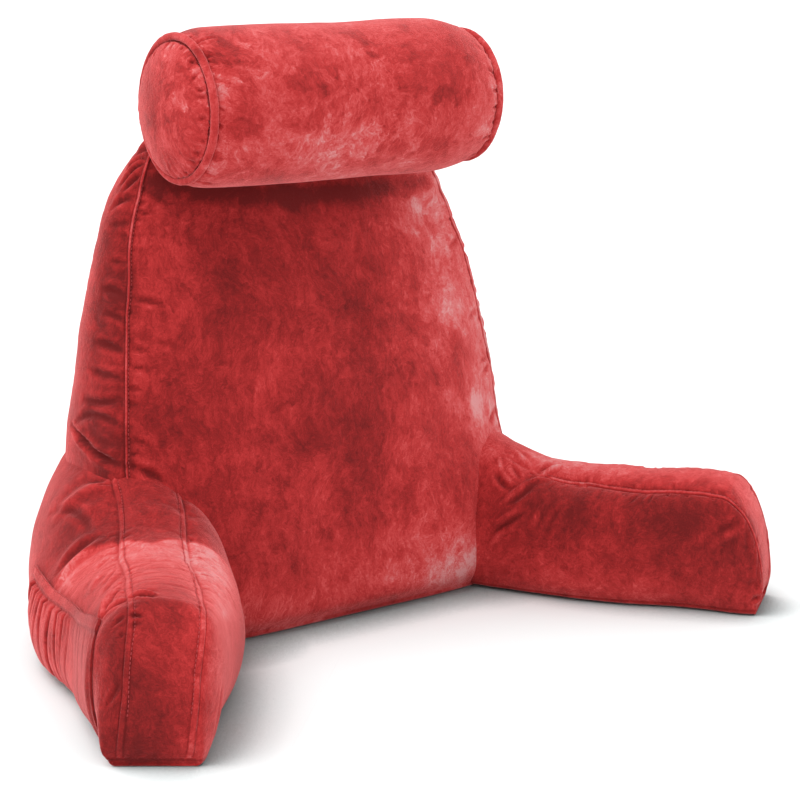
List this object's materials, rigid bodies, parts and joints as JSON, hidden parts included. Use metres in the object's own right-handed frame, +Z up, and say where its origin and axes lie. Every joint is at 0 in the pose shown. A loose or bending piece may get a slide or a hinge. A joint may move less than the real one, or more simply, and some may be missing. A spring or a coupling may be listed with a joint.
{
  "type": "backrest reading pillow",
  "caption": "Filled backrest pillow in crushed velvet with forward arms, a cylindrical neck roll with corded ends and a gathered pocket on the outer side of an arm.",
  "frame": {"origin": "middle of the pillow's footprint box, on the surface that it stands on", "axes": "+Z up; the sitter leans on the front, which faces -Y; +X is on the right of a person who looks at the front"},
  "size_m": [0.9166, 0.5514, 0.6903],
  "materials": {
    "velvet": "crushed velvet, deep red, matt with a pink sheen where the nap leans away",
    "roll_velvet": "crushed velvet of the neck roll, with gathers at both ends",
    "pocket_velvet": "crushed velvet of the pocket, gathered under a stitched hem band",
    "piping": "velvet-covered piping cord"
  },
  "bodies": {
    "root": {"backrest": "velvet", "arm_left": "velvet", "arm_right": "velvet", "pocket_left": "pocket_velvet", "neck_roll": "roll_velvet", "cord_left": "piping", "cord_right": "piping"}
  },
  "joints": []
}
